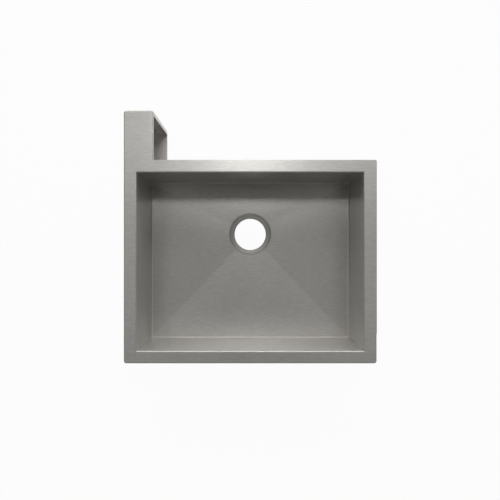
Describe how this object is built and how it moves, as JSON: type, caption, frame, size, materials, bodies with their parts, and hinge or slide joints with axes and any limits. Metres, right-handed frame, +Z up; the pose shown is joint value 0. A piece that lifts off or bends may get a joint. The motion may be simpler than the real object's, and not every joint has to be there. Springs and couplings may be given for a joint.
{
  "type": "undermount kitchen sink",
  "caption": "Fabricated steel kitchen sink with a square-cornered bowl, creased floor falling to an open drain, flat deck with a rear tab, and finished front and left aprons.",
  "frame": {"origin": "centre of the sink's footprint, on the plane that the aprons stand on", "axes": "+X to the user's right along the front apron, +Y from the front apron to the back, +Z up out of the bowl"},
  "size_m": [0.648, 0.648, 0.254],
  "materials": {
    "brushed_sheet": "satin, grained left to right",
    "pad_rubber": "matte"
  },
  "bodies": {
    "root": {"deck_plate": "brushed_sheet", "wall_front": "brushed_sheet", "wall_back": "brushed_sheet", "wall_left": "brushed_sheet", "wall_right": "brushed_sheet", "bowl_floor": "brushed_sheet", "drain_cup": "brushed_sheet", "apron_front": "brushed_sheet", "apron_left": "brushed_sheet", "front_brace_1": "brushed_sheet", "front_brace_2": "brushed_sheet", "front_brace_3": "brushed_sheet", "left_brace_1": "brushed_sheet", "left_brace_2": "brushed_sheet", "left_brace_3": "brushed_sheet", "pad_front": "pad_rubber", "pad_back": "pad_rubber", "pad_left": "pad_rubber", "pad_right": "pad_rubber", "pad_floor_front": "pad_rubber", "pad_floor_back": "pad_rubber", "pad_floor_left": "pad_rubber", "pad_floor_right": "pad_rubber"}
  },
  "joints": []
}
